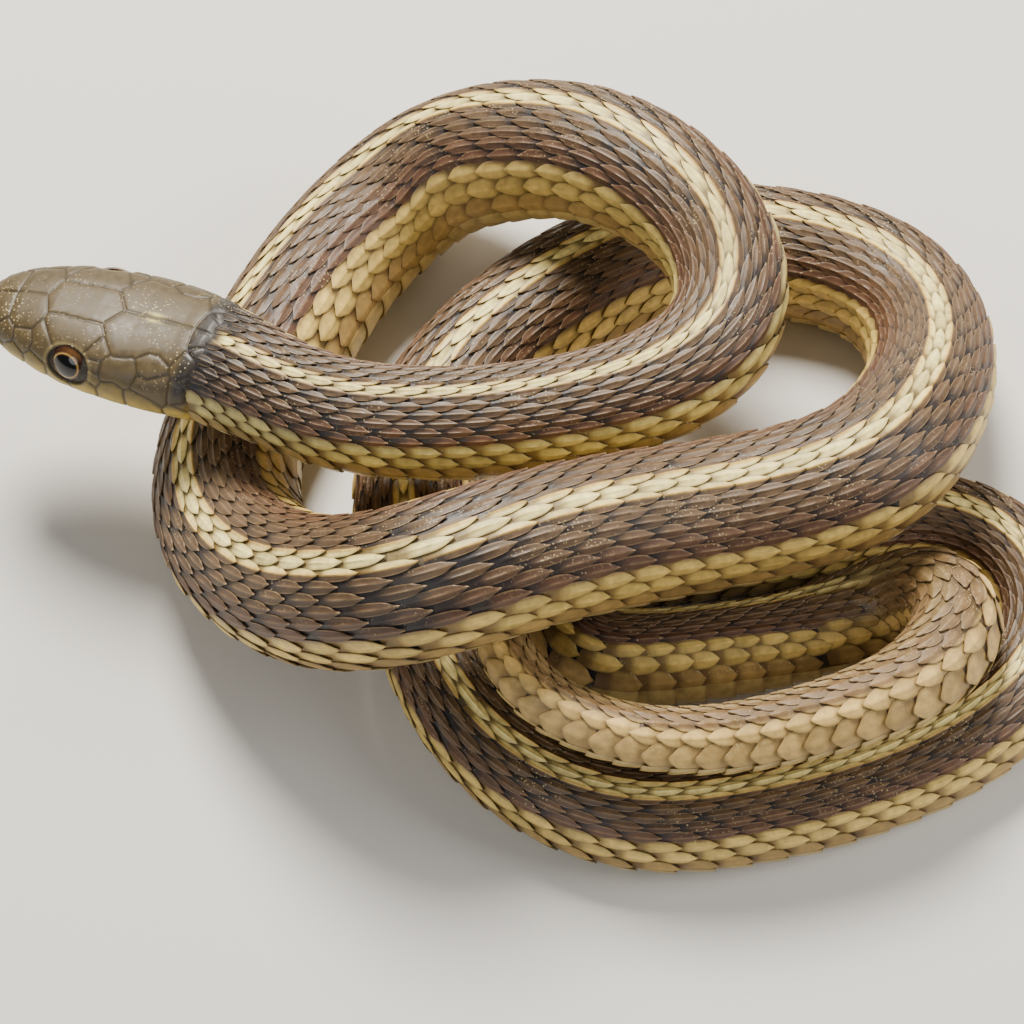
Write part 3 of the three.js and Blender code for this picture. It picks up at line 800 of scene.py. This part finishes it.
SIDE_PLATES = {
    "internasal": (CROWN, [(2.3, 0.17), (2.4, 0.38)]),
    "prefrontal": (CROWN, [(6.0, 0.14), (6.2, 0.36)]),
    "supraocular": (CROWN, [(10.6, 0.42), (12.2, 0.42), (14.2, 0.42)]),
    "parietal": (CROWN, [(18.2, 0.20), (18.4, 0.34), (20.4, 0.28), (22.4, 0.22), (24.2, 0.12), (24.0, 0.22)]),
    "fore_nasal": (CROWN, [(1.9, 0.64)]),
    "rear_nasal": (CROWN, [(4.3, 0.62)]),
    "loreal": (CROWN, [(6.7, 0.60)]),
    "preocular": (CROWN, [(9.2, 0.52), (9.3, 0.64)]),
    "upper_postocular": (CROWN, [(15.9, 0.50)]),
    "middle_postocular": (CROWN, [(16.0, 0.60)]),
    "lower_postocular": (CROWN, [(15.6, 0.70)]),
    "first_temporal": (CROWN, [(17.6, 0.60), (19.0, 0.58), (19.8, 0.58)]),
    "upper_temporal": (CROWN, [(22.4, 0.48)]),
    "lower_temporal": (CROWN, [(22.2, 0.66), (23.4, 0.64)]),
    "fore_chin": (THROAT, [(4.2, 1.72), (6.4, 1.72)]),
    "rear_chin": (THROAT, [(9.4, 1.74), (12.0, 1.74)]),
}
UPPER_LIP = (2.4, 5.4, 8.6, 11.6, 14.8, 18.2, 21.6)
LOWER_LIP = (1.9, 3.6, 5.6, 7.9, 10.4, 13.0, 15.7, 18.4, 21.0)
GULAR_STEP = 2.1


def plate_centres():
    """Every plate centre as distance, height, side, plate number and kind."""
    rows, number = [], 0
    for kind, places in MIDDLE_PLATES.values():
        rows += [(d, h * side, number, kind) for d, h in places for side in (-1, 1)]
        number += 1
    single = [(kind, places) for kind, places in SIDE_PLATES.values()]
    single += [(LIPS, [(d, 0.80), (d, 0.96)]) for d in UPPER_LIP]
    single += [(LIPS, [(d, 1.13)]) for d in LOWER_LIP]
    for d in np.arange(8.5, 29, GULAR_STEP):
        for k, h in enumerate(np.arange(1.34, 1.62 if d < 14 else 1.95, 0.17)):
            single.append((THROAT, [(d + GULAR_STEP / 2 * (k % 2), h)]))
    for d in (27.3, 28.9):
        for k, h in enumerate(np.arange(0.08, 1.2, 0.14)):
            single.append((CROWN if h < 0.7 else LIPS, [(d + 0.9 * (k % 2), h)]))
    for kind, places in single:
        for side in (-1, 1):
            rows += [(d, h * side, number, kind) for d, h in places]
            number += 1
    return np.array(rows)


def head_fraction(distance):
    """Place of the mouth line round the section at each distance, as a share of the half girth."""
    centre, _, up, _, _ = stations(distance)
    tried = np.linspace(0, 1, TRIED)
    share = np.empty(len(distance))
    for i, d in enumerate(distance):
        points = sample(grid_points, np.full(TRIED, d), tried)
        height = (points - centre[i]) @ up[i]
        miss = np.abs(height - (MOUTH_HEIGHT + MOUTH_SLOPE * d))
        share[i] = tried[np.argmin(miss + (height > 2) * 9)]
    soft = np.ones(9) / 9
    return np.convolve(np.pad(share, 4, "edge"), soft, "valid")


def eye_place():
    """Place round the section that the eye looks out of."""
    centre, _, up, right, _ = (v[0] for v in stations(np.array([EYE_BACK])))
    lift = math.radians(EYE_LIFT)
    sideways, upward = EYE_OUT + EYE_THICK * math.cos(lift), EYE_UP + EYE_THICK * math.sin(lift)
    pole = centre + right * sideways + up * upward
    tried = np.linspace(0, 1, EYE_TRIED)
    away = sample(grid_points, np.full(EYE_TRIED, EYE_BACK), tried) - pole
    return tried[np.argmin(np.linalg.norm(away, axis=1))]


def nearest_plates(distance, share, girth, d, across):
    """Each point's plate, that plate's kind, and how far in from its edge the point is, in mm."""
    centres = plate_centres()
    rows_share = np.interp(centres[:, 0], distance, share)
    size = np.abs(centres[:, 1])
    centre_portion = np.where(size <= 1, size * rows_share, rows_share + (size - 1) * (1 - rows_share))
    # each centre's distance is measured on the girth where the point is
    nearest, second = np.full(d.shape, FAR), np.full(d.shape, FAR)
    owner = np.full(d.shape, -1.0)
    kind = np.zeros(d.shape)
    for (cd, ch, plate, sort), cp in zip(centres, centre_portion):
        sideways = across - math.copysign(1, ch) * cp * girth[:, None]
        gap = np.hypot(d - cd, sideways)
        same = owner == plate
        closer = gap < nearest
        second = np.where(closer & ~same, nearest, second)
        second = np.where(~closer & ~same & (gap < second), gap, second)
        kind = np.where(closer, sort, kind)
        owner = np.where(closer, plate, owner)
        nearest = np.where(closer, gap, nearest)
    return owner.astype(int), kind, (second - nearest) / 2


def head_marks(d, h, place, share, girth):
    """How far each point lies in the mouth's line, the eye's opening and its rim, and the nostril."""
    mouth = np.exp(-((np.abs(h) - 1) * girth * share / MOUTH_WIDTH) ** 2)
    mouth = mouth * smooth_step(MOUTH_BACK + 1.5, MOUTH_BACK - 0.5, d) * smooth_step(0.05, 0.4, d)
    eye_d = (d - EYE_BACK) / EYE_SPAN[0]
    eye_h = (np.abs(place) - eye_place()) * girth / EYE_SPAN[1]
    eye = np.hypot(eye_d, eye_h)
    rim = np.exp(-((eye - 1.14) / 0.07) ** 2)
    nostril_h = (np.abs(h) - NOSTRIL[1]) * share * girth / NOSTRIL_SPAN[1]
    nostril = np.hypot((d - NOSTRIL[0]) / NOSTRIL_SPAN[0], nostril_h)
    pit = smooth_step(1.15, 0.5, nostril) * (d < 5)
    return mouth, eye, rim, pit


def head_rise(d, margin, mouth, eye, rim, pit):
    """Height of the plates above the skin, in mm."""
    full = coat_depth(d)
    groove = np.exp(-(margin / 0.13) ** 2)
    dome = smooth_step(0, 0.9, margin)
    rise = full * (0.82 + 0.18 * dome) * (1 - 0.5 * groove)
    rise = rise * (1 - mouth) - MOUTH_DEPTH * mouth
    opening = smooth_step(1.06, 0.90, eye)
    rise = rise * (1 - opening) - SOCKET_DEPTH * opening
    rise = np.minimum(rise + 0.05 * rim, full)
    rise = rise - NOSTRIL_DEPTH * pit
    end = smooth_step(HEAD_END, HEAD_END + HEAD_LAP, d)
    return rise * (1 - end) - 0.08 * end


def head_tint(d, h, across, owner, kind, margin, mouth, eye, rim, pit):
    """Colour of the plates: olive crown, yellow-olive lips, pale chin, dark seams and nape, and painted shade
    in the mouth's line, the nostrils and the eye's opening.
    """
    tone = 1 + rng.normal(0, 0.045, owner.max() + 1)[owner]
    h = np.abs(h)
    colour = np.empty(d.shape + (3,))
    colour[:] = OLIVE
    colour = mix(colour, LIP, np.where(kind == LIPS, 0.35 + 0.65 * smooth_step(0.78, 0.9, h), 0))
    colour = mix(colour, CHIN, np.where(kind == THROAT, 1.0, smooth_step(1.02, 1.3, h) * 0.6))
    near_eye = smooth_step(0.6, 0.8, h) * (kind == CROWN) * 0.3 * smooth_step(4, 1, np.abs(d - 14) / 3)
    colour = mix(colour, LIP * 0.9, near_eye)
    spot = np.exp(-(((d - 20.6) / 0.8) ** 2 + ((np.abs(across) - 0.45) / 0.24) ** 2))
    colour = mix(colour, PARIETAL_SPOT, spot * 0.8)
    colour = colour * tone[..., None]
    seam = np.exp(-(margin / 0.12) ** 2)
    strong = np.where(kind == CROWN, 0.7, 0.85)
    colour = mix(colour, SUTURE, seam * strong)
    lip_edge = (kind == LIPS) * (h < 1) * np.exp(-(margin / 0.3) ** 2) * 0.4
    colour = mix(colour, BLACK, lip_edge)
    # painted shade in the mouth's line and the nostril pits, then round the eye inside its opening
    colour = mix(colour, MOUTH_AND_NOSTRIL_SHADE, np.maximum(mouth, pit) * 0.92)
    colour = mix(colour, EYE_SOCKET_SHADE, smooth_step(1.12, 0.98, eye))
    colour = mix(colour, EYELID, rim * 0.35)
    nape = smooth_step(25.4, 26.4, d) * smooth_step(0.85, 0.6, h)
    return mix(colour, BLACK, nape * 0.8)


def build_head():
    rows, columns = HEAD_ROWS, HEAD_COLUMNS
    distance = 0.03 + (HEAD_END + HEAD_LAP) * np.linspace(0, 1, rows) ** 1.15
    share = head_fraction(distance)
    girth = np.stack([np.interp(distance, grid_distance, half_girth[:, k]) for k in (0, 1)], 1).mean(1)
    height = np.linspace(-2, 2, columns)
    d, h = np.meshgrid(distance, height, indexing="ij")
    above = share[:, None]
    portion = np.where(np.abs(h) <= 1, np.abs(h) * above, above + (np.abs(h) - 1) * (1 - above))
    place = np.sign(h) * portion
    across = place * girth[:, None]                                 # mm round from the crown
    owner, kind, margin = nearest_plates(distance, share, girth, d, across)
    marks = head_marks(d, h, place, above, girth[:, None])
    rise = head_rise(d, margin, *marks)
    points = on_surface(d.ravel(), place.ravel(), rise.ravel())
    colour = head_tint(d, h, across, owner, kind, margin, *marks)

    triangles = grid_triangles(rows, columns)
    nose = len(points)
    ring = np.arange(columns - 1)
    fan = np.stack([np.full(len(ring), nose), ring + 1, ring], 1)
    triangles = np.concatenate([triangles, fan])
    points = np.vstack([points, points[:columns].mean(0)])
    tint = np.vstack([colour.reshape(-1, 3), colour[0, columns // 2]])
    # the head has a map of its own, where the snout's tip lies beside each face's own edge
    uv = np.stack([0.02 + 0.96 * d / distance[-1], 0.02 + 0.48 * (place + 1)], -1).reshape(-1, 2)
    uv = np.vstack([uv, [[0.01, 0.5]]])[triangles]
    uv[triangles == nose, 1] = uv[-len(ring):, 1, 1]
    make_piece("head_plates", points, triangles, tint, uv, PLATE_MATERIAL)


build_head()


# Eyes
EYE_RINGS, EYE_SIDES = 64, 72


def eye_material():
    material = bpy.data.materials.new("eye_surface")
    material.use_nodes = True
    links = material.node_tree.links
    shader = material.node_tree.nodes["Principled BSDF"]
    shader.inputs["Roughness"].default_value = 0.12
    shader.inputs["IOR"].default_value = 1.42
    shader.inputs["Specular IOR Level"].default_value = 0.25
    shader.inputs["Coat Weight"].default_value = 0.6
    shader.inputs["Coat Roughness"].default_value = 0.04
    tint = add_node(material, "ShaderNodeAttribute")
    tint.attribute_name = "tint"
    where = add_node(material, "ShaderNodeTexCoord")
    fleck = add_node(material, "ShaderNodeTexNoise", Scale=4200)
    links.new(where.outputs["Object"], fleck.inputs["Vector"])
    shade = add_node(material, "ShaderNodeMapRange", To_Min=0.6, To_Max=1.4)
    links.new(fleck.outputs["Fac"], shade.inputs["Value"])
    tone = add_node(material, "ShaderNodeVectorMath")
    tone.operation = "SCALE"
    links.new(tint.outputs["Color"], tone.inputs[0])
    links.new(shade.outputs["Result"], tone.inputs["Scale"])
    links.new(tone.outputs["Vector"], shader.inputs["Base Color"])
    return material


def build_eye(side, material):
    centre, along, up, right, _ = (v[0] for v in stations(np.array([EYE_BACK])))
    rings, sides = EYE_RINGS, EYE_SIDES
    polar = np.linspace(0, math.pi, rings + 1)[:, None]
    turn = np.linspace(0, 2 * math.pi, sides + 1)[None, :]
    out = np.cos(polar) * np.ones_like(turn)
    long, high = np.sin(polar) * np.cos(turn), np.sin(polar) * np.sin(turn)
    reach = np.hypot(long, high)
    local = np.stack([out * EYE_THICK, high * EYE_HIGH, long * EYE_LONG], -1).reshape(-1, 3)
    local[:, 0] *= side
    tilt = (Matrix.Rotation(-side * math.radians(EYE_AHEAD), 3, "Y")
            @ Matrix.Rotation(side * math.radians(EYE_LIFT), 3, "Z"))
    local = local @ np.array(tilt).T + (side * EYE_OUT, EYE_UP, 0)
    points = (centre + local @ np.stack([right, up, -along])) * MM
    colour = np.empty(reach.shape + (3,))
    colour[:] = IRIS
    lit = smooth_step(0.35, 0.7, high) * smooth_step(0.6, -0.2, long) * 0.6
    colour = mix(colour, IRIS_LIGHT, lit)
    colour = mix(colour, IRIS_GOLD, np.exp(-((reach - IRIS_RING) / 0.03) ** 2) * 0.75)
    colour = mix(colour, EYE_EDGE, smooth_step(0.78, 0.92, reach))
    colour = mix(colour, PUPIL_BLACK, smooth_step(PUPIL + 0.03, PUPIL, reach))
    triangles = grid_triangles(rings + 1, sides + 1)
    if side > 0:
        triangles = triangles[:, ::-1]
    side_name = "eye_right" if side > 0 else "eye_left"
    spread = 0.48 * polar / math.pi
    uv = np.stack([0.5 + spread * np.cos(turn), 0.5 + spread * np.sin(turn)], -1).reshape(-1, 2)
    make_piece(side_name + "_ball", points, triangles, colour.reshape(-1, 3), uv, material,
               [side_name])


EYE_MATERIAL = eye_material()
for side in (-1, 1):
    build_eye(side, EYE_MATERIAL)


# Floor
FLOOR_REACH = 2.5           # metres each way
FLOOR_DROP = 0.05           # mm


def build_floor():
    mesh = bpy.data.meshes.new("floor")
    r = FLOOR_REACH
    mesh.from_pydata([(-r, -r, 0), (r, -r, 0), (r, r, 0), (-r, r, 0)], [], [(0, 1, 2, 3)])
    material = bpy.data.materials.new("pale_floor")
    material.use_nodes = True
    shader = material.node_tree.nodes["Principled BSDF"]
    shader.inputs["Base Color"].default_value = (0.72, 0.70, 0.66, 1)
    shader.inputs["Roughness"].default_value = 0.85
    mesh.materials.append(material)
    floor = bpy.data.objects.new("floor", mesh)
    floor.location.z = -FLOOR_DROP * MM
    bpy.context.scene.collection.objects.link(floor)


build_floor()

bpy.context.view_layer.update()
